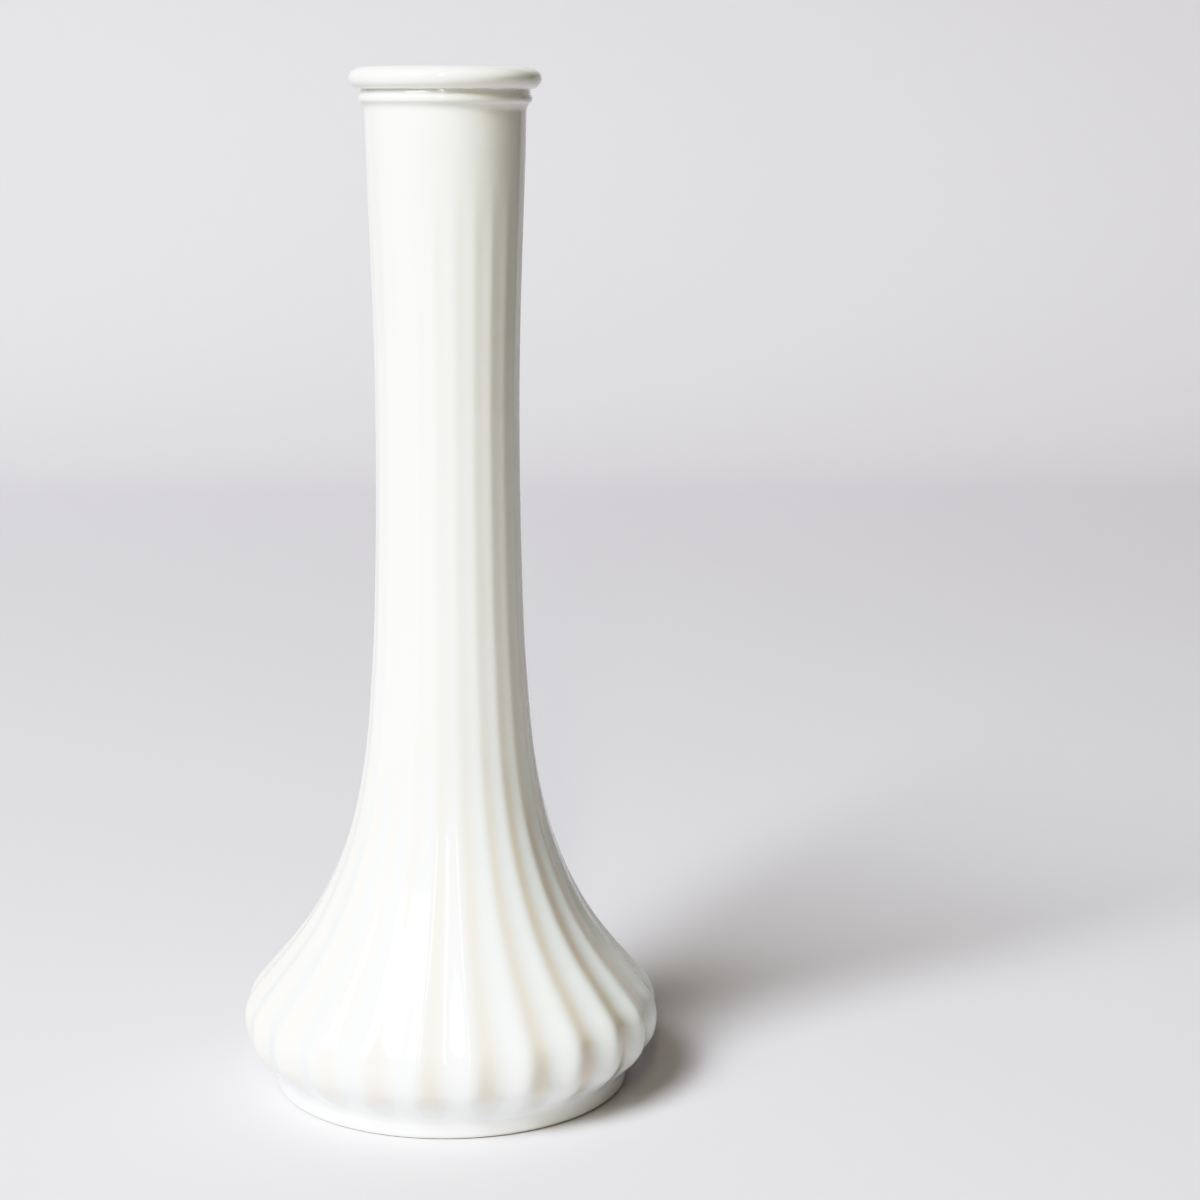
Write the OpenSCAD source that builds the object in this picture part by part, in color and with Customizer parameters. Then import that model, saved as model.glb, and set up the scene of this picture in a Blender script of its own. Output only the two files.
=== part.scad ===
// Ribbed bud vase in opal glass: a rolled lip on a thin collar, a plain throat, a long ribbed neck
// that flares into a low ribbed bulb, and a plain round foot. The glass is one moulding. Each node
// is one formed section of it, and the sections meet face to face on level planes.
// Origin: centre of the foot, on the surface that the vase stands on. +Z is up the axis.

/* [Overall] */
// Height of the whole vase
vase_h = 229; // [200:1:260]
// Thickness of the glass, from the crest of a rib to the inside
wall_t = 4; // [3:0.1:4.5]

/* [Foot] */
// Diameter of the plain band that the vase stands on
foot_d = 80.4; // [76:0.2:86]
// Height of the plain band below the ribs
foot_h = 3.2; // [3:0.1:4.5]
// Radius of the rounding along the bottom edge of the foot
foot_round = 1.2; // [0.5:0.1:1.8]
// Width of the ring of glass around the hollow underside
foot_ring_w = 7; // [5:0.5:10]
// Height of the hollow under the floor, at its centre
push_up_h = 2.2; // [1.5:0.1:2.6]

/* [Bulb and neck] */
// Widest diameter of the bulb, over the ribs
bulge_d = 94.8; // [90:0.2:104]
// Height of the widest part of the bulb
bulge_z = 16.5; // [14:0.5:20]
// Narrowest diameter of the neck, over the ribs
waist_d = 32; // [30:0.2:34]
// Height of the narrowest part of the neck
waist_z = 155; // [140:1:165]

/* [Ribs] */
// Number of ribs around the vase
rib_count = 24; // [20:1:32]
// Depth of the grooves on the neck, as a share of the width of one rib there
neck_groove_share = 0.026; // [0.01:0.002:0.06]
// Depth of the grooves on the bulb, as a share of the width of one rib there
bulb_groove_share = 0.095; // [0.05:0.005:0.13]
// Softness of the crest of a rib: low is a sharp ridge and high is a gentle swell
crest_softness = 0.6; // [0.2:0.1:1.5]

/* [Throat and lip] */
// Diameter of the plain throat below the collar
throat_d = 35.2; // [34:0.2:36]
// Inside diameter of the mouth
mouth_d = 27.8; // [26:0.2:28.4]
// Diameter of the thin collar under the lip
collar_d = 37.8; // [37.4:0.2:39]
// Diameter of the rolled lip
lip_d = 41.8; // [41:0.2:45]
// Height of the rolled lip
lip_h = 4.8; // [4:0.2:5.6]

/* [Hidden] */
foot_r = foot_d / 2;
bulge_r = bulge_d / 2;
waist_r = waist_d / 2;
throat_r = throat_d / 2;
mouth_r = mouth_d / 2;
collar_r = collar_d / 2;
lip_r = lip_d / 2;
heel_r = foot_r - foot_ring_w;

// Levels, upwards, where one section meets the next
flare_z = 30;
neck_z = 100;
throat_z = vase_h - 17;
collar_z = vase_h - 9.6;
lip_z = vase_h - lip_h;
// Level where the inside opens out to the full width of the mouth
bore_z = vase_h - 23;

// Swell of the bulb's underside, from the foot's band to the widest part:
// share of the height between them, and share of the radius that the band lacks
UNDERSIDE = [
    [0, 0], [0.12, 0.1], [0.25, 0.335], [0.42, 0.65], [0.62, 0.885], [0.82, 0.98], [1, 1]
];
// Swell of the flare, from the widest part of the bulb to the waist:
// share of the height between them, and share of the radius that the waist lacks
FLARE = [
    [0, 1], [0.03, 0.967], [0.065, 0.848], [0.12, 0.643], [0.18, 0.463],
    [0.28, 0.26], [0.4, 0.127], [0.58, 0.045], [0.78, 0.01], [1, 0]
];
// Part of an even rise that the neck has made when it meets the collar
NECK_RISE = 0.85;

// The ribs fade out over this height below the plain throat
rib_fade_h = 26;
// Height over which the grooves run out above the foot
groove_end_h = 6;
// Thickness of the floor at its edge
floor_t = 2.4;
// How far the top of the floor rises to its centre
floor_rise = 1.4;

// Radius of the round bead on the collar, and its height as a share of the collar
collar_bead_r = 1.2;
collar_bead_share = 0.6;
// Turn of the bead's surface, up and down from level, where it meets the groove and the cove
collar_bead_turn = 50;
// Radius of the narrow groove between the collar and the lip
groove_r = collar_r - 0.5;
// Radius of the highest line of the lip, and the depth of the lip's overhang past the groove
lip_top_r = (lip_r + mouth_r) / 2;
lip_overhang = lip_r - groove_r;

// Steps around one rib, and around the whole vase
RIB_STEPS = 6;
AROUND = rib_count * RIB_STEPS;
// Longest steps in height of the rings of each ribbed section, and of the inside
BULB_STEP = 1.7;
FLARE_STEP = 5;
NECK_STEP = 8;
INSIDE_STEP = 3;
// Steps along a rounded edge
ARC_STEPS = 12;
// How far a hollow is cut past the ends of its section
OVERRUN = 1;
ROUND_FN = 96;

OPAL = [0.96, 0.96, 0.94];
OPAL_FOOT = [0.93, 0.95, 0.96];

// Even levels between two heights, no further apart than step
function levels(low, high, step) =
    let(n = ceil((high - low) / step)) [for (i = [0:n]) low + (high - low) * i / n];

// Eases from 0 to 1 as x goes from 0 to 1
function ease(x) = let(t = min(max(x, 0), 1)) t * t * (3 - 2 * t);

// Smooth curve through a list of [x, y] points, level at both ends, read at x
function chord(k, i) = (k[i + 1][1] - k[i][1]) / (k[i + 1][0] - k[i][0]);
function slope(k, i) = i == 0 || i == len(k) - 1 ? 0 : (chord(k, i - 1) + chord(k, i)) / 2;
function span(k, x, i = 0) = i >= len(k) - 2 || x < k[i + 1][0] ? i : span(k, x, i + 1);
function curve(k, x) =
    let(
        i = span(k, x),
        w = k[i + 1][0] - k[i][0],
        t = (x - k[i][0]) / w,
        bend = (1 - t) * slope(k, i) - t * slope(k, i + 1)
    )
    k[i][1] + (k[i + 1][1] - k[i][1]) * ease(t) + w * t * (1 - t) * bend;

// Rises from 0 at the foot's band to 1 at the widest part of the bulb
function tuck(z) = curve(UNDERSIDE, (z - foot_h) / (bulge_z - foot_h));

// Radius over the ribs at a height: under the bulge, up to the waist, and up to the collar
function flare_r(z) =
    waist_r + (bulge_r - waist_r) * curve(FLARE, (z - bulge_z) / (waist_z - bulge_z));
function neck_r(z) =
    waist_r + (throat_r - waist_r)
        * ease(NECK_RISE * (z - waist_z) / (collar_z - waist_z)) / ease(NECK_RISE);
function crest_r(z) =
    z < bulge_z ? foot_r + (bulge_r - foot_r) * tuck(z) : z < waist_z ? flare_r(z) : neck_r(z);

// Depth of the grooves at a height: deeper where the vase is wider, and none under the throat
function rib_w(z) = 2 * PI * crest_r(z) / rib_count;
function swell(z) = (crest_r(z) - waist_r) / (bulge_r - waist_r);
function depth_share(z) =
    neck_groove_share + (bulb_groove_share - neck_groove_share) * swell(z);
function groove_depth(z) =
    depth_share(z) * rib_w(z) * ease((throat_z - z) / rib_fade_h)
    * ease((z - foot_h) / groove_end_h);

// Share of the groove's depth at a turn around the axis: 1 in a groove and 0 on a crest.
// Turn 0 is the front, where a crest is, and 90 is +X.
function groove_share(turn) =
    let(s = sin(turn * rib_count / 2), e = crest_softness)
    (sqrt(s * s + e * e) - e) / (sqrt(1 + e * e) - e);

// Radius of the outside. The ribs rise out of the foot's plain band.
function rib_r(z, turn) = crest_r(z) - groove_depth(z) * groove_share(turn);

// Radius of the inside, from the floor up to the straight bore.
// The wall is measured square to the flare.
function lean(z) = flare_r(z + 0.5) - flare_r(z - 0.5);
function inside_r(z) =
    z < bulge_z ? heel_r + (bulge_r - wall_t - heel_r) * tuck(z) :
    z < waist_z ? flare_r(z) - wall_t * norm([1, lean(max(z, bulge_z + 0.5))]) :
    waist_r - wall_t
        + (mouth_r - waist_r + wall_t) * ease((z - waist_z) / (bore_z - waist_z));

// Ribbed section with no hollow, through a list of levels
module ribbed_solid(zs) {
    last = len(zs) - 1;
    points = [
        for (z = zs) for (j = [0:AROUND - 1])
            let(turn = 360 * j / AROUND, r = rib_r(z, turn))
            [r * sin(turn), -r * cos(turn), z]
    ];
    sides = [
        for (i = [0:last - 1]) for (j = [0:AROUND - 1])
            let(a = i * AROUND + j, b = i * AROUND + (j + 1) % AROUND)
            for (face = [[a, a + AROUND, b + AROUND], [a, b + AROUND, b]]) face
    ];
    bottom = [for (j = [0:AROUND - 1]) j];
    top = [for (j = [AROUND - 1:-1:0]) last * AROUND + j];
    polyhedron(points, concat([bottom, top], sides));
}

// Hollow between two levels, run past both of them
module hollow(low, high) {
    rotate_extrude($fn = ROUND_FN)
    polygon(concat(
        [[0, low - OVERRUN], [inside_r(low), low - OVERRUN]],
        [for (z = levels(low, high, INSIDE_STEP)) [inside_r(z), z]],
        [[inside_r(high), high + OVERRUN], [0, high + OVERRUN]]
    ));
}

module ribbed_section(zs) {
    color(OPAL)
    difference() {
        ribbed_solid(zs);
        hollow(zs[0], zs[len(zs) - 1]);
    }
}

// Points along an arc of a circle or an ellipse
function arc(centre, rx, ry, from, to) = [
    for (i = [0:ARC_STEPS])
        let(a = from + (to - from) * i / ARC_STEPS)
        centre + [rx * cos(a), ry * sin(a)]
];

module lip_bead() {
    half_h = lip_h / 2;
    middle_z = lip_z + half_h;
    color(OPAL)
    rotate_extrude($fn = ROUND_FN)
    polygon(concat(
        [[mouth_r, lip_z]],
        arc([groove_r, middle_z], lip_overhang, half_h, -90, 0),
        arc([lip_top_r, middle_z], lip_r - lip_top_r, half_h, 0, 90),
        arc([lip_top_r, middle_z], lip_top_r - mouth_r, half_h, 90, 180)
    ));
}

module collar_ring() {
    bead_z = collar_z + (lip_z - collar_z) * collar_bead_share;
    turn = collar_bead_turn;
    cove_w = (collar_r - throat_r) / (1 - cos(turn)) - collar_bead_r;
    cove_h = (bead_z - collar_z) / sin(turn) - collar_bead_r;
    color(OPAL)
    rotate_extrude($fn = ROUND_FN)
    polygon(concat(
        [[mouth_r, collar_z]],
        arc([throat_r + cove_w, collar_z], cove_w, cove_h, 180, 180 - turn),
        arc([collar_r - collar_bead_r, bead_z], collar_bead_r, collar_bead_r, -turn, turn),
        [[groove_r, lip_z], [mouth_r, lip_z]]
    ));
}

module throat() {
    color(OPAL)
    rotate_extrude($fn = ROUND_FN)
    polygon(concat(
        [for (z = levels(throat_z, collar_z, INSIDE_STEP)) [crest_r(z), z]],
        [[mouth_r, collar_z], [mouth_r, throat_z]]
    ));
}

module ribbed_neck() {
    ribbed_section(levels(neck_z, throat_z, NECK_STEP));
}

module ribbed_flare() {
    ribbed_section(levels(flare_z, neck_z, FLARE_STEP));
}

module ribbed_bulb() {
    ribbed_section(concat(
        levels(foot_h, bulge_z, BULB_STEP),
        [for (z = levels(bulge_z, flare_z, BULB_STEP)) if (z > bulge_z) z]
    ));
}

module foot_ring() {
    color(OPAL_FOOT)
    rotate_extrude($fn = ROUND_FN)
    polygon(concat(
        [[heel_r, foot_h]],
        arc([heel_r + foot_round, foot_round], foot_round, foot_round, 180, 270),
        arc([foot_r - foot_round, foot_round], foot_round, foot_round, -90, 0),
        [[foot_r, foot_h]]
    ));
}

module base_floor() {
    edge_z = foot_h - floor_t;
    shares = [for (i = [0:ARC_STEPS]) i / ARC_STEPS];
    color(OPAL_FOOT)
    rotate_extrude($fn = ROUND_FN)
    polygon(concat(
        [for (s = shares) [heel_r * s, push_up_h + (edge_z - push_up_h) * s * s]],
        [for (s = shares) [heel_r * (1 - s), foot_h + floor_rise * s * (2 - s)]]
    ));
}

lip_bead();
collar_ring();
throat();
ribbed_neck();
ribbed_flare();
ribbed_bulb();
foot_ring();
base_floor();
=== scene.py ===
"""Ribbed bud vase in opal glass, on a pale sweep, under soft light from the front left.

Each formed section of the glass is a fine closed mesh that stands for the CAD node of the same
name. Levels and radii come from the frame; the curves between them repeat the part's design.
All lengths are in metres. Turn 0 is the front, -Y, and turn 90 is +X.
"""
import math

import bpy
import numpy as np
from mathutils import Matrix, Vector


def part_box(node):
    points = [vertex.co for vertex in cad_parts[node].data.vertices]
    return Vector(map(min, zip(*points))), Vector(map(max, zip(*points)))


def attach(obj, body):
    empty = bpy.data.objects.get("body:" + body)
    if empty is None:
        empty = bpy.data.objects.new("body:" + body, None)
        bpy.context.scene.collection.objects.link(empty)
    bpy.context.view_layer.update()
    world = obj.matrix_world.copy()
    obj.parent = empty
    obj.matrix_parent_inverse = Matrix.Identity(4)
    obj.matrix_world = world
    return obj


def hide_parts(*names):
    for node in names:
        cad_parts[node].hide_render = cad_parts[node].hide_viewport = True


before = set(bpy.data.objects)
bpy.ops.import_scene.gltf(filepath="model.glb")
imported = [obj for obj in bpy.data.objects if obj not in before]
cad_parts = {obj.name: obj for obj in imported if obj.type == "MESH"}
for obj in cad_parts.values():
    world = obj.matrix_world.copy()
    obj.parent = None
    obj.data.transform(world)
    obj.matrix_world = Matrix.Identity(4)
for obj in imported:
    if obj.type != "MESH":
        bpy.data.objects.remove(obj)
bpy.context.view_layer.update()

MM = 0.001

# Shape of the glass, as in the part's design. Shares have no unit.
RIB_COUNT = 24
NECK_GROOVE_SHARE = 0.026
BULB_GROOVE_SHARE = 0.095
CREST_SOFTNESS = 0.6
RIB_FADE_H = 26 * MM
GROOVE_END_H = 6 * MM
NECK_RISE = 0.85
WAIST_R = 16 * MM
WAIST_Z = 155 * MM
BULGE_Z = 16.5 * MM
WALL_T = 4 * MM
BORE_H = 23 * MM
# From the widest part of the bulb up to the waist: share of the height between them, and share of
# the radius that the waist lacks
FLARE = [
    (0, 1), (0.03, 0.967), (0.065, 0.848), (0.12, 0.643), (0.18, 0.463),
    (0.28, 0.26), (0.4, 0.127), (0.58, 0.045), (0.78, 0.01), (1, 0),
]
# From the foot's band up to the widest part: share of the height between them, and share of the
# radius that the band lacks
UNDERSIDE = [(0, 0), (0.12, 0.1), (0.25, 0.335), (0.42, 0.65), (0.62, 0.885), (0.82, 0.98), (1, 1)]
FOOT_ROUND = 1.2 * MM
PUSH_UP_H = 2.2 * MM
FLOOR_RISE = 1.4 * MM
COLLAR_BEAD_R = 1.2 * MM
COLLAR_BEAD_SHARE = 0.6
COLLAR_BEAD_TURN = 50
GROOVE_INSET = 0.5 * MM

# Warmth of the glass: 0 is the white where the bulb meets the foot, painted there as light under
# the bulb, and 1 is the amber of a painted contact shadow
FOOT_WARMTH = 0.12
LOBE_WARMTH = 0.15
NECK_WARMTH = 0.4
# The flank warmth is painted shade: warm light and shade on the flank of each lobe that turns from
# the key light
FLANK_SHADE_WARMTH = 0.8
# Share of a groove's depth where the band of painted warm shade begins, and how far the band is
# turned off the groove, towards the lobe on the left of it, onto its flank that turns from the
# light
FLANK_EDGE = 0.45
FLANK_TURN = 0.24 * 2 * math.pi / RIB_COUNT
# Swell of the vase above which the ribs are round lobes
LOBE_SWELL = 0.2
# Heights over which the warmth comes in above the painted light by the foot, and the painted amber
# contact shadow ends on its edge
WARM_START_H = 10 * MM
CONTACT_SHADOW_H = 0.7 * MM

# Levels and radii that the frame gives
FOOT_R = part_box("foot_ring")[1].x
FOOT_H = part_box("foot_ring")[1].z
HEEL_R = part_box("base_floor")[1].x
FLOOR_EDGE_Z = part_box("base_floor")[0].z
BULGE_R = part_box("ribbed_bulb")[1].x
FLARE_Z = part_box("ribbed_flare")[0].z
NECK_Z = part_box("ribbed_neck")[0].z
THROAT_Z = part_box("throat")[0].z
THROAT_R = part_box("throat")[1].x
COLLAR_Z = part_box("collar_ring")[0].z
COLLAR_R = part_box("collar_ring")[1].x
LIP_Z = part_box("lip_bead")[0].z
LIP_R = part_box("lip_bead")[1].x
TOP_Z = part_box("lip_bead")[1].z
BORE_Z = TOP_Z - BORE_H
MOUTH_R = min(math.hypot(v.co.x, v.co.y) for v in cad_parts["lip_bead"].data.vertices)

# Fineness of the meshes
RIB_STEPS = 16
AROUND = RIB_COUNT * RIB_STEPS
ARC_STEPS = 14
BULB_STEP = 0.55 * MM
FLARE_STEP = 1.1 * MM
NECK_STEP = 2.2 * MM
INSIDE_STEP = 2.5 * MM
FLAT_STEPS = 3

TURNS = np.arange(AROUND) * (2 * math.pi / AROUND)


# ---------------------------------------------------------------- shape of the glass

def levels(low, high, step):
    """Even levels between two heights, no further apart than step."""
    return np.linspace(low, high, math.ceil((high - low) / step) + 1)


def ease(x):
    """Eases from 0 to 1 as x goes from 0 to 1."""
    t = np.clip(x, 0, 1)
    return t * t * (3 - 2 * t)


def curve(points, x):
    """The smooth curve through the points, level at both ends."""
    xs = np.array([p[0] for p in points])
    ys = np.array([p[1] for p in points])
    widths = np.diff(xs)
    chords = np.diff(ys) / widths
    slopes = np.concatenate([[0], (chords[:-1] + chords[1:]) / 2, [0]])
    i = np.clip(np.searchsorted(xs, x, side="right") - 1, 0, len(widths) - 1)
    t = (x - xs[i]) / widths[i]
    bend = (1 - t) * slopes[i] - t * slopes[i + 1]
    return ys[i] + (ys[i + 1] - ys[i]) * ease(t) + widths[i] * t * (1 - t) * bend


def tuck(z):
    """Rises from 0 at the foot's band to 1 at the widest part of the bulb."""
    return curve(UNDERSIDE, np.clip((z - FOOT_H) / (BULGE_Z - FOOT_H), 0, 1))


def flare_r(z):
    """Radius over the ribs from the widest part of the bulb up to the waist."""
    return WAIST_R + (BULGE_R - WAIST_R) * curve(FLARE, (z - BULGE_Z) / (WAIST_Z - BULGE_Z))


def neck_r(z):
    """Radius over the ribs from the waist up to the collar."""
    share = (z - WAIST_Z) / (COLLAR_Z - WAIST_Z)
    return WAIST_R + (THROAT_R - WAIST_R) * ease(NECK_RISE * share) / ease(NECK_RISE)


def crest_r(z):
    """Radius over the ribs at each height."""
    z = np.asarray(z, float)
    under = FOOT_R + (BULGE_R - FOOT_R) * tuck(z)
    return np.where(z < BULGE_Z, under, np.where(z < WAIST_Z, flare_r(z), neck_r(z)))


def swell(z):
    """0 at the waist and 1 at the widest part of the bulb."""
    return (crest_r(z) - WAIST_R) / (BULGE_R - WAIST_R)


def lobe_share(z):
    """0 at the waist, where the ribs are facets, and 1 where they are round lobes."""
    return ease(swell(z) / LOBE_SWELL)


def groove_share(turns):
    """1 in a groove and 0 on a crest."""
    s = np.sin(turns * RIB_COUNT / 2)
    e = CREST_SOFTNESS
    return (np.sqrt(s * s + e * e) - e) / (math.sqrt(1 + e * e) - e)


def groove_depth(z):
    """Depth of the grooves: deeper where the vase is wider, and none at the throat and the foot."""
    rib_w = 2 * math.pi * crest_r(z) / RIB_COUNT
    share = NECK_GROOVE_SHARE + (BULB_GROOVE_SHARE - NECK_GROOVE_SHARE) * swell(z)
    return share * rib_w * ease((THROAT_Z - z) / RIB_FADE_H) * ease((z - FOOT_H) / GROOVE_END_H)


def rib_r(z, turns):
    """Radius of the outside at a height and a turn around the axis."""
    return crest_r(z) - groove_depth(z) * groove_share(turns)


def inside_r(z):
    """Radius of the inside, from the floor up to the throat, with the wall square to the flare."""
    if z < BULGE_Z:
        return HEEL_R + (BULGE_R - WALL_T - HEEL_R) * float(tuck(z))
    if z < WAIST_Z:
        middle = max(z, BULGE_Z + MM / 2)
        lean = float(flare_r(middle + MM / 2) - flare_r(middle - MM / 2)) / MM
        return float(flare_r(z)) - WALL_T * math.hypot(1, lean)
    share = (z - WAIST_Z) / (BORE_Z - WAIST_Z)
    return WAIST_R - WALL_T + (MOUTH_R - WAIST_R + WALL_T) * float(ease(share))


# ---------------------------------------------------------------- meshes

def arc(centre, rx, rz, start, end):
    """(radius, height) points along an arc of a circle or an ellipse, in degrees."""
    turns = np.radians(np.linspace(start, end, ARC_STEPS + 1))
    return [(centre[0] + rx * math.cos(a), centre[1] + rz * math.sin(a)) for a in turns]


def plain(points, warmth=NECK_WARMTH):
    """Rings of a section that is round all the way: (radii, height, warmth) for each point."""
    return [(np.full(AROUND, r), z, np.full(AROUND, warmth)) for r, z in points]


def across(r_from, r_to, z):
    """Points inside a level face, between its two edges."""
    return [(r_from + (r_to - r_from) * i / FLAT_STEPS, z) for i in range(1, FLAT_STEPS)]


def turned(name, rings, corners=(), poles=False):
    """A closed mesh through the rings. It closes on itself, or on the axis at both poles.

    corners are the rings where the surface turns sharply, so that shading does too.
    """
    count = len(rings)
    points, warmths = [], []
    for radii, z, warmth in rings:
        points += zip(radii * np.sin(TURNS), -radii * np.cos(TURNS), np.full(AROUND, z))
        warmths += list(warmth)
    faces = []
    for i in range(count - 1 if poles else count):
        a, b = i * AROUND, (i + 1) % count * AROUND
        for j in range(AROUND):
            k = (j + 1) % AROUND
            faces.append((a + j, a + k, b + k, b + j))
    if poles:
        for ring, flip in ((0, True), (count - 1, False)):
            pole = len(points)
            points.append((0, 0, rings[ring][1]))
            warmths.append(0)
            for j in range(AROUND):
                a, b = ring * AROUND + j, ring * AROUND + (j + 1) % AROUND
                faces.append((b, a, pole) if flip else (a, b, pole))
    mesh = bpy.data.meshes.new(name)
    mesh.from_pydata([tuple(map(float, p)) for p in points], [], faces)
    mesh.validate()
    mesh.shade_smooth()
    mesh.attributes.new("warmth", "FLOAT", "POINT").data.foreach_set("value", warmths)
    sharp = np.zeros(len(mesh.edges), bool)
    pairs = np.zeros(len(mesh.edges) * 2, np.int32)
    mesh.edges.foreach_get("vertices", pairs)
    ring_of = pairs.reshape(-1, 2) // AROUND
    for corner in corners:
        sharp |= (ring_of == corner % count).all(axis=1)
    mesh.attributes.new("sharp_edge", "BOOLEAN", "EDGE").data.foreach_set("value", sharp)
    piece = bpy.data.objects.new(name, mesh)
    bpy.context.scene.collection.objects.link(piece)
    return piece


def glass_warmth(z):
    """Warmth of the ribbed glass: painted shade on each lobe's flank turned from the light, painted
    light near the foot.
    """
    lobes = lobe_share(z)
    # Painted warm shade, on the same side of every groove all round the vase
    flank = ease((groove_share(TURNS + FLANK_TURN) - FLANK_EDGE) / (1 - FLANK_EDGE))
    bulb = LOBE_WARMTH + (FLANK_SHADE_WARMTH - LOBE_WARMTH) * flank
    # Painted light: the warmth fades to white near the foot, which lifts the shade under the bulb
    return (NECK_WARMTH * (1 - lobes) + bulb * lobes) * ease((z - FOOT_H) / WARM_START_H)


def ribbed_rings(zs):
    """Outside rings of a ribbed section, upwards."""
    return [(rib_r(z, TURNS), z, glass_warmth(z)) for z in zs]


def section(name, outside, bottom_r, top_r, inside):
    """A ring of glass: up the outside, across the top, down the inside and across the bottom."""
    low, high = outside[0][1], outside[-1][1]
    inner_low, inner_high = inside[0][0], inside[-1][0]
    rings = list(outside)
    corners = [0, len(rings) - 1]
    rings += plain(across(top_r, inner_high, high))
    corners.append(len(rings))
    rings += plain(reversed(inside))
    corners.append(len(rings) - 1)
    rings += plain(across(inner_low, bottom_r, low))
    return turned(name, rings, corners)


def ribbed_section(name, zs):
    """A length of the ribbed wall, with rings on its outside at the heights zs."""
    low, high = zs[0], zs[-1]
    inside = [(inside_r(z), z) for z in levels(low, high, INSIDE_STEP)]
    return section(name, ribbed_rings(zs), crest_r(low), crest_r(high), inside)


def lip_bead():
    """The rolled lip, round from its underside over the top to the mouth."""
    half_h = (TOP_Z - LIP_Z) / 2
    middle_z = LIP_Z + half_h
    top_r = (LIP_R + MOUTH_R) / 2
    groove_r = COLLAR_R - GROOVE_INSET
    rings = arc((groove_r, middle_z), LIP_R - groove_r, half_h, -90, 0)
    rings += arc((top_r, middle_z), LIP_R - top_r, half_h, 0, 90)[1:]
    rings += arc((top_r, middle_z), top_r - MOUTH_R, half_h, 90, 180)[1:]
    wall = len(rings)
    rings += [(MOUTH_R, LIP_Z + half_h / 2), (MOUTH_R, LIP_Z)]
    rings += across(MOUTH_R, groove_r, LIP_Z)
    return turned("lip_bead_glass", plain(rings), (0, wall + 1))


def collar_ring():
    """A cove, a round bead and the narrow groove under the lip."""
    bead_z = COLLAR_Z + (LIP_Z - COLLAR_Z) * COLLAR_BEAD_SHARE
    turn = COLLAR_BEAD_TURN
    cove_w = (COLLAR_R - THROAT_R) / (1 - math.cos(math.radians(turn))) - COLLAR_BEAD_R
    cove_h = (bead_z - COLLAR_Z) / math.sin(math.radians(turn)) - COLLAR_BEAD_R
    groove_r = COLLAR_R - GROOVE_INSET
    bead_at = (COLLAR_R - COLLAR_BEAD_R, bead_z)
    outside = arc((THROAT_R + cove_w, COLLAR_Z), cove_w, cove_h, 180, 180 - turn)
    outside += arc(bead_at, COLLAR_BEAD_R, COLLAR_BEAD_R, -turn, turn)[1:]
    outside += [(groove_r, LIP_Z)]
    inside = [(MOUTH_R, z) for z in levels(COLLAR_Z, LIP_Z, INSIDE_STEP)]
    return section("collar_ring_glass", plain(outside), THROAT_R, groove_r, inside)


def throat():
    """The plain band where the ribs have faded out."""
    zs = levels(THROAT_Z, COLLAR_Z, BULB_STEP)
    outside = plain([(float(crest_r(z)), z) for z in zs])
    inside = [(MOUTH_R, z) for z in levels(THROAT_Z, COLLAR_Z, INSIDE_STEP)]
    return section("throat_glass", outside, outside[0][0][0], outside[-1][0][0], inside)


def foot_ring():
    """The ring that the vase stands on, with a painted amber contact shadow along its outer lower
    edge.
    """
    inner = HEEL_R + FOOT_ROUND
    outer = FOOT_R - FOOT_ROUND
    inner_side = [(HEEL_R, FOOT_H), (HEEL_R, (FOOT_H + FOOT_ROUND) / 2)]
    inner_side += arc((inner, FOOT_ROUND), FOOT_ROUND, FOOT_ROUND, 180, 270)
    inner_side += across(inner, outer, 0)
    edge = arc((outer, FOOT_ROUND), FOOT_ROUND, FOOT_ROUND, -90, 0)
    outer_side = [(FOOT_R, z) for z in levels(FOOT_ROUND, FOOT_H, MM)[1:]]
    rings = plain(inner_side, 0)
    for r, z in edge + outer_side:
        # Painted contact shadow: the outer side is tinted darker towards the table and its lowest
        # edge amber
        rings += plain([(r, z)], max(FOOT_WARMTH * (1 - z / FOOT_H), 1 - z / CONTACT_SHADOW_H))
    top = len(rings) - 1
    rings += plain(across(FOOT_R, HEEL_R, FOOT_H), 0)
    return turned("foot_ring_glass", rings, (0, top))


def base_floor():
    """The domed floor over the hollow underside."""
    steps = 2 * ARC_STEPS
    shares = [i / steps for i in range(1, steps + 1)]
    under = [(HEEL_R * s, PUSH_UP_H + (FLOOR_EDGE_Z - PUSH_UP_H) * s * s) for s in shares]
    over = [(HEEL_R * s, FOOT_H + FLOOR_RISE * (1 - s * s)) for s in reversed(shares)]
    edge = len(under) - 1
    return turned("base_floor_glass", plain(under + over, 0), (edge, edge + 1), poles=True)


# ---------------------------------------------------------------- materials

# Colour of the glass at each warmth; the flank colour is painted warm shade and 1 is a painted
# amber contact shadow
GLASS_TINTS = {
    0: (0.97, 0.985, 0.985),
    LOBE_WARMTH: (0.88, 0.90, 0.89),
    NECK_WARMTH: (0.90, 0.90, 0.86),
    # painted warm shade on the flanks that turn from the light
    FLANK_SHADE_WARMTH: (0.94, 0.88, 0.795),
    1: (0.62, 0.45, 0.20),
}
GLASS_IOR = 1.5
# How fine the cloudiness is, and the range of shade and of roughness that it gives
CLOUD_SCALE = 35
CLOUD_SHADE = (0.97, 1.0)
CLOUD_ROUGHNESS = (0.07, 0.14)
RIPPLE_SCALE = 90
RIPPLE_STRENGTH = 0.5
RIPPLE_H = 0.1 * MM

PAPER_COLOUR = (0.775, 0.757, 0.79)
PAPER_ROUGHNESS = 0.75
GRAIN_SCALE = 900
GRAIN_STRENGTH = 0.15
GRAIN_H = 0.05 * MM


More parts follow.
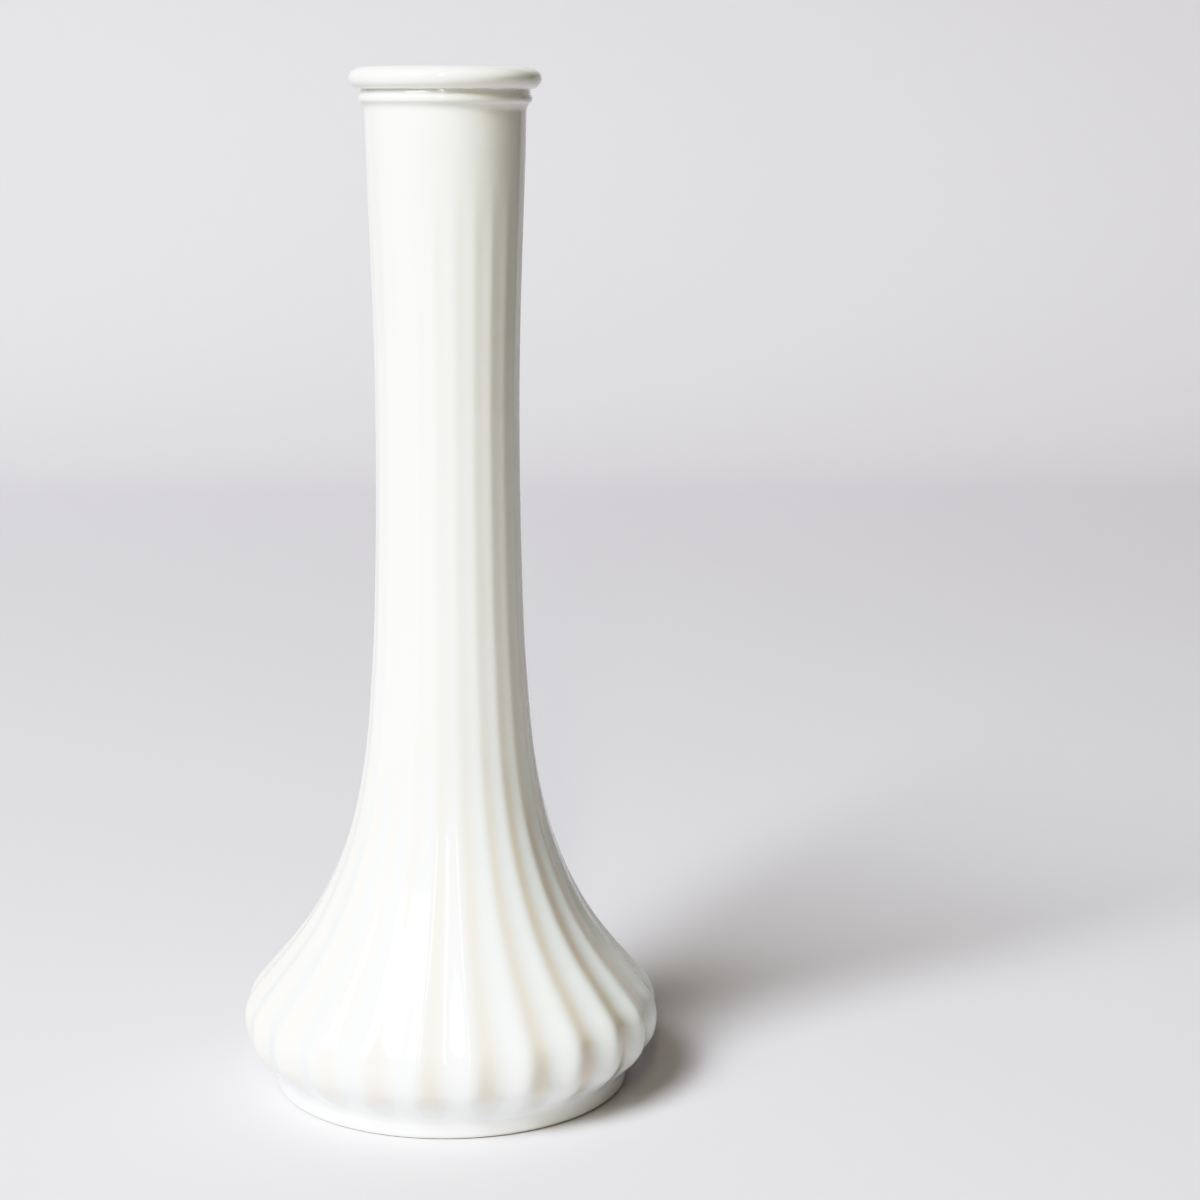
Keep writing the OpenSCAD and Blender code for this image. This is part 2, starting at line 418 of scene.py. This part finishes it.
def nodes_of(material):
    """The material's node tree, cleared, and a new shader that is linked to its output."""
    material.use_nodes = True
    tree = material.node_tree
    tree.nodes.clear()
    shader = tree.nodes.new("ShaderNodeBsdfPrincipled")
    output = tree.nodes.new("ShaderNodeOutputMaterial")
    tree.links.new(shader.outputs[0], output.inputs["Surface"])
    return tree, shader


def ranged(tree, source, limits):
    """The source's 0 to 1 spread over the limits."""
    node = tree.nodes.new("ShaderNodeMapRange")
    node.inputs["To Min"].default_value, node.inputs["To Max"].default_value = limits
    tree.links.new(source, node.inputs["Value"])
    return node.outputs["Result"]


def roughen(tree, shader, noise, strength, height):
    """Bumps the shader's surface by the noise."""
    bump = tree.nodes.new("ShaderNodeBump")
    bump.inputs["Strength"].default_value = strength
    bump.inputs["Distance"].default_value = height
    tree.links.new(noise.outputs["Fac"], bump.inputs["Height"])
    tree.links.new(bump.outputs["Normal"], shader.inputs["Normal"])


def opal_glass():
    """Glossy white glass tinted by each point's warmth, which holds painted shade and light;
    faintly cloudy and rippled.
    """
    material = bpy.data.materials.new("opal_glass")
    tree, shader = nodes_of(material)
    new, link = tree.nodes.new, tree.links.new

    warmth = new("ShaderNodeAttribute")
    warmth.attribute_name = "warmth"
    place = new("ShaderNodeTexCoord")

    tint = new("ShaderNodeValToRGB")
    ramp = tint.color_ramp.elements
    ramp[0].position, ramp[0].color = 0, (*GLASS_TINTS[0], 1)
    ramp[1].position, ramp[1].color = 1, (*GLASS_TINTS[1], 1)
    for position in (LOBE_WARMTH, NECK_WARMTH, FLANK_SHADE_WARMTH):
        ramp.new(position).color = (*GLASS_TINTS[position], 1)
    link(warmth.outputs["Fac"], tint.inputs[0])

    cloud = new("ShaderNodeTexNoise")
    cloud.inputs["Scale"].default_value = CLOUD_SCALE
    cloud.inputs["Detail"].default_value = 3
    link(place.outputs["Object"], cloud.inputs["Vector"])
    colour = new("ShaderNodeMix")
    colour.data_type = "RGBA"
    colour.blend_type = "MULTIPLY"
    colour.inputs["Factor"].default_value = 1
    link(tint.outputs["Color"], colour.inputs["A"])
    link(ranged(tree, cloud.outputs["Fac"], CLOUD_SHADE), colour.inputs["B"])
    link(colour.outputs["Result"], shader.inputs["Base Color"])
    link(ranged(tree, cloud.outputs["Fac"], CLOUD_ROUGHNESS), shader.inputs["Roughness"])

    ripple = new("ShaderNodeTexNoise")
    ripple.inputs["Scale"].default_value = RIPPLE_SCALE
    ripple.inputs["Detail"].default_value = 2
    link(place.outputs["Object"], ripple.inputs["Vector"])
    roughen(tree, shader, ripple, RIPPLE_STRENGTH, RIPPLE_H)

    shader.inputs["IOR"].default_value = GLASS_IOR
    return material


def paper():
    """Pale matt paper with a fine grain."""
    material = bpy.data.materials.new("pale_paper")
    tree, shader = nodes_of(material)
    shader.inputs["Base Color"].default_value = (*PAPER_COLOUR, 1)
    shader.inputs["Roughness"].default_value = PAPER_ROUGHNESS
    grain = tree.nodes.new("ShaderNodeTexNoise")
    grain.inputs["Scale"].default_value = GRAIN_SCALE
    roughen(tree, shader, grain, GRAIN_STRENGTH, GRAIN_H)
    return material


# ---------------------------------------------------------------- stage

# The camera, the sweep and the lights are turned together about the vase's axis, in degrees
VIEW_TURN = -5.3
VIEW = Matrix.Rotation(math.radians(VIEW_TURN), 4, "Z")

# The camera's place, in front of the axis and above the floor, and its turns down, to the right
# and about its own line of sight, in degrees
CAMERA_DISTANCE = 0.5805
CAMERA_H = 0.2191
CAMERA_PITCH = 10.48
CAMERA_YAW = 3.34
CAMERA_ROLL = 0.18
# Millimetres, as Blender has them
CAMERA_LENS = 78.84
SENSOR_W = 36
# Nearest distance that the camera sees
CLIP_START = 0.01

# The sheet of paper: its floor, the bend behind the vase and the wall above the bend
FLOOR_HALF_W = 1.3
FLOOR_FRONT_Y = -1.0
SWEEP_START_Y = 0.96
SWEEP_R = 0.35
WALL_H = 1.2
SWEEP_STEPS = 32


def sweep():
    """A floor that curves up into a wall behind the vase."""
    path = [(FLOOR_FRONT_Y, 0.0), (0.0, 0.0)]
    for i in range(SWEEP_STEPS + 1):
        a = math.pi / 2 * i / SWEEP_STEPS
        path.append((SWEEP_START_Y + SWEEP_R * math.sin(a), SWEEP_R * (1 - math.cos(a))))
    path.append((SWEEP_START_Y + SWEEP_R, WALL_H))
    points = [(x, y, z) for y, z in path for x in (-FLOOR_HALF_W, FLOOR_HALF_W)]
    faces = [(2 * i, 2 * i + 1, 2 * i + 3, 2 * i + 2) for i in range(len(path) - 1)]
    mesh = bpy.data.meshes.new("sweep")
    mesh.from_pydata(points, [], faces)
    mesh.shade_smooth()
    floor = bpy.data.objects.new("sweep", mesh)
    floor.matrix_world = VIEW
    bpy.context.scene.collection.objects.link(floor)
    mesh.materials.append(paper())
    return floor


def camera():
    """Looks slightly down at the vase, which stands left of the middle of the picture."""
    pitch, yaw, roll = (math.radians(a) for a in (CAMERA_PITCH, CAMERA_YAW, CAMERA_ROLL))
    forward = math.cos(pitch)
    ahead = Vector((math.sin(yaw) * forward, math.cos(yaw) * forward, -math.sin(pitch)))
    level = Vector((math.cos(yaw), -math.sin(yaw), 0))
    up = level.cross(ahead)
    right = math.cos(roll) * level + math.sin(roll) * up
    top = -math.sin(roll) * level + math.cos(roll) * up
    turn = Matrix((right, top, -ahead)).transposed().to_4x4()
    place = Matrix.Translation((0, -CAMERA_DISTANCE, CAMERA_H))
    data = bpy.data.cameras.new("camera")
    data.lens = CAMERA_LENS
    data.sensor_width = SENSOR_W
    data.clip_start = CLIP_START
    eye = bpy.data.objects.new("camera", data)
    eye.matrix_world = VIEW @ place @ turn
    bpy.context.scene.collection.objects.link(eye)
    bpy.context.scene.camera = eye


# Colours of the lights
NEUTRAL = (1, 1, 1)
COOL = (0.92, 1.0, 1.08)
CREAM = (1.0, 0.97, 0.7)
# Height on the vase's axis that the lights face
AIM_Z = 0.1
# Colour and strength of the room's own light, and the pale grey past the edges of the sweep
ROOM_COLOUR = (1.0, 0.62, 0.1)
ROOM_LIGHT = 0.045
PALE = (0.62, 0.61, 0.63)


def soft_light(name, turn, elevation, distance, width, height, power, colour=NEUTRAL):
    """An area light that faces the vase's axis. Turn 0 is in front and 90 at the right."""
    t, e = math.radians(turn), math.radians(elevation)
    away = Vector((math.sin(t) * math.cos(e), -math.cos(t) * math.cos(e), math.sin(e)))
    data = bpy.data.lights.new(name, "AREA")
    data.shape = "RECTANGLE"
    data.size = width
    data.size_y = height
    data.energy = power
    data.color = colour
    lamp = bpy.data.objects.new(name, data)
    place = Matrix.Translation(Vector((0, 0, AIM_Z)) + away * distance)
    lamp.matrix_world = VIEW @ place @ away.to_track_quat("Z", "Y").to_matrix().to_4x4()
    lamp.visible_camera = False
    bpy.context.scene.collection.objects.link(lamp)


def room():
    """A dim warm room lights the vase. Past the paper's edges the camera sees pale grey."""
    world = bpy.data.worlds.new("soft_room")
    world.use_nodes = True
    nodes, link = world.node_tree.nodes, world.node_tree.links.new
    dim = nodes["Background"]
    dim.inputs["Color"].default_value = (*ROOM_COLOUR, 1)
    dim.inputs["Strength"].default_value = ROOM_LIGHT
    pale = nodes.new("ShaderNodeBackground")
    pale.inputs["Color"].default_value = (*PALE, 1)
    seen = nodes.new("ShaderNodeMixShader")
    link(nodes.new("ShaderNodeLightPath").outputs["Is Camera Ray"], seen.inputs["Fac"])
    link(dim.outputs["Background"], seen.inputs[1])
    link(pale.outputs["Background"], seen.inputs[2])
    link(seen.outputs["Shader"], nodes["World Output"].inputs["Surface"])
    return world


def lights():
    """A broad far light and a near one from the left, and a thin strip in front."""
    soft_light("key", turn=-44, elevation=39, distance=9, width=4.2, height=4.2, power=600)
    soft_light("near_key", turn=-44, elevation=48, distance=2, width=0.9, height=0.9,
               power=31, colour=COOL)
    soft_light("strip", turn=-5, elevation=35, distance=2, width=0.12, height=1.8,
               power=10, colour=CREAM)
    bpy.context.scene.world = room()


# ---------------------------------------------------------------- tone

# The tone curve is straight up to SHOULDER, then bends over towards WHITE, and the whole of it is
# raised to the power CONTRAST
SHOULDER = 0.6
WHITE = 1.04
CONTRAST = 1.33
# Brightest light that the curve reaches, and the steps along it
BRIGHTEST = 2.5
CURVE_STEPS = 24


def tone(x):
    """How bright a light of strength x looks, as a camera's tone curve has it."""
    reach = WHITE - SHOULDER
    y = x if x < SHOULDER else WHITE - reach * math.exp((SHOULDER - x) / reach)
    return min(y, 1) ** CONTRAST


def show(settings):
    """Puts the tone curve on the fourth of the view's curves, which is for all colours at once."""
    settings.view_transform = "Standard"
    settings.look = "None"
    settings.use_curve_mapping = True
    mapping = settings.curve_mapping
    mapping.white_level = (BRIGHTEST, BRIGHTEST, BRIGHTEST)
    points = mapping.curves[3].points
    points[0].location = (0, 0)
    points[1].location = (1, tone(BRIGHTEST))
    for i in range(1, CURVE_STEPS):
        points.new(i / CURVE_STEPS, tone(BRIGHTEST * i / CURVE_STEPS))
    mapping.update()


# ---------------------------------------------------------------- the scene

def build_vase():
    """Makes every piece of the vase, attaches it to the root body and hides the CAD node that it
    stands for.
    """
    glass = opal_glass()
    pieces = {
        "lip_bead": lip_bead(),
        "collar_ring": collar_ring(),
        "throat": throat(),
        "ribbed_neck": ribbed_section("ribbed_neck_glass", levels(NECK_Z, THROAT_Z, NECK_STEP)),
        "ribbed_flare": ribbed_section("ribbed_flare_glass", levels(FLARE_Z, NECK_Z, FLARE_STEP)),
        "ribbed_bulb": ribbed_section("ribbed_bulb_glass", np.concatenate([
            levels(FOOT_H, BULGE_Z, BULB_STEP), levels(BULGE_Z, FLARE_Z, BULB_STEP)[1:]])),
        "foot_ring": foot_ring(),
        "base_floor": base_floor(),
    }
    for node, piece in pieces.items():
        piece.data.materials.append(glass)
        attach(piece, "root")
        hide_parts(node)


camera()
lights()
sweep()
build_vase()

show(bpy.context.scene.view_settings)
